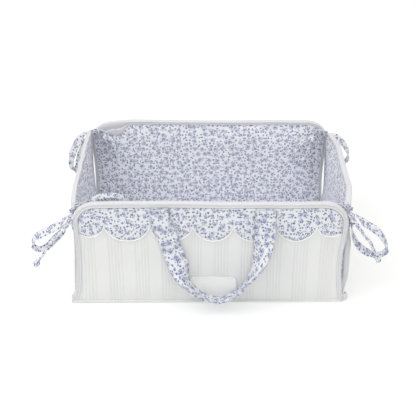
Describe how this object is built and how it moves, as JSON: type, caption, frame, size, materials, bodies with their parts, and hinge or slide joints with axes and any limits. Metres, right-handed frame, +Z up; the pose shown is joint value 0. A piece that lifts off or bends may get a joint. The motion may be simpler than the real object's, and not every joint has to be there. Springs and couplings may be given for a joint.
{
  "type": "fabric organizer basket",
  "caption": "Open rectangular basket of quilted cloth with fold-down walls tied by corner bows, a scalloped floral band and hanging strap handles.",
  "frame": {"origin": "centre of the base's underside, on the surface that the basket stands on", "axes": "+X to the right along the long side seen from the front, +Y to the back, +Z up"},
  "size_m": [0.3937, 0.2598, 0.1355],
  "materials": {
    "white_cloth": "white cotton with fine raised stripes",
    "floral_lining": "white cotton printed with small blue flowers",
    "floral_cotton": "white cotton printed with small blue flowers",
    "pale_binding": "pale lavender-grey bias binding",
    "white_edging": "narrow white edging",
    "wadding": "soft white wadding",
    "patch_tape": "smooth cream-white woven tape"
  },
  "bodies": {
    "base": {"base_outer": "white_cloth", "base_wadding": "wadding", "base_lining": "floral_lining", "corner_binding_front_left": "pale_binding", "corner_binding_front_right": "pale_binding", "corner_binding_back_right": "pale_binding", "corner_binding_back_left": "pale_binding"},
    "front_wall": {"front_wall_outer": "white_cloth", "front_wall_wadding": "wadding", "front_wall_lining": "floral_lining", "front_wall_binding": "pale_binding", "front_scallop_band": "floral_cotton", "front_scallop_edging": "white_edging", "front_patch": "patch_tape", "knot_front_left": "floral_cotton", "ribbon_root_long_front_left": "floral_cotton", "outer_loop_front_left": "floral_cotton", "outer_tail_front_left": "floral_cotton", "inner_loop_front_left": "floral_cotton", "inner_tail_front_left": "floral_cotton", "knot_front_right": "floral_cotton", "ribbon_root_long_front_right": "floral_cotton", "outer_loop_front_right": "floral_cotton", "outer_tail_front_right": "floral_cotton", "inner_loop_front_right": "floral_cotton", "inner_tail_front_right": "floral_cotton"},
    "back_wall": {"back_wall_outer": "white_cloth", "back_wall_wadding": "wadding", "back_wall_lining": "floral_lining", "back_wall_binding": "pale_binding", "back_scallop_band": "floral_cotton", "back_scallop_edging": "white_edging", "knot_back_right": "floral_cotton", "ribbon_root_long_back_right": "floral_cotton", "outer_loop_back_right": "floral_cotton", "outer_tail_back_right": "floral_cotton", "inner_loop_back_right": "floral_cotton", "inner_tail_back_right": "floral_cotton", "knot_back_left": "floral_cotton", "ribbon_root_long_back_left": "floral_cotton", "outer_loop_back_left": "floral_cotton", "outer_tail_back_left": "floral_cotton", "inner_loop_back_left": "floral_cotton", "inner_tail_back_left": "floral_cotton"},
    "left_wall": {"left_wall_outer": "white_cloth", "left_wall_wadding": "wadding", "left_wall_lining": "floral_lining", "left_wall_binding": "pale_binding", "ribbon_root_short_front_left": "floral_cotton", "ribbon_root_short_back_left": "floral_cotton"},
    "right_wall": {"right_wall_outer": "white_cloth", "right_wall_wadding": "wadding", "right_wall_lining": "floral_lining", "right_wall_binding": "pale_binding", "ribbon_root_short_front_right": "floral_cotton", "ribbon_root_short_back_right": "floral_cotton"},
    "front_handle": {"front_handle": "floral_cotton"},
    "back_handle": {"back_handle": "floral_cotton"}
  },
  "joints": [
    {"name": "front_wall_fold", "type": "hinge", "parent": "base", "child": "front_wall", "pos_m": [0, -0.1038, 0.0005], "axis": [1, 0, 0], "range_deg": [0, 90]},
    {"name": "back_wall_fold", "type": "hinge", "parent": "base", "child": "back_wall", "pos_m": [0, 0.1038, 0.0005], "axis": [-1, 0, 0], "range_deg": [0, 90]},
    {"name": "left_wall_fold", "type": "hinge", "parent": "base", "child": "left_wall", "pos_m": [-0.1515, 0, 0.0005], "axis": [0, -1, 0], "range_deg": [0, 90]},
    {"name": "right_wall_fold", "type": "hinge", "parent": "base", "child": "right_wall", "pos_m": [0.1515, 0, 0.0005], "axis": [0, 1, 0], "range_deg": [0, 90]},
    {"name": "front_handle_swing", "type": "hinge", "parent": "front_wall", "child": "front_handle", "pos_m": [0, -0.107, 0.124], "axis": [-1, 0, 0], "range_deg": [0, 175]},
    {"name": "back_handle_swing", "type": "hinge", "parent": "back_wall", "child": "back_handle", "pos_m": [0, 0.107, 0.124], "axis": [1, 0, 0], "range_deg": [0, 175]}
  ]
}
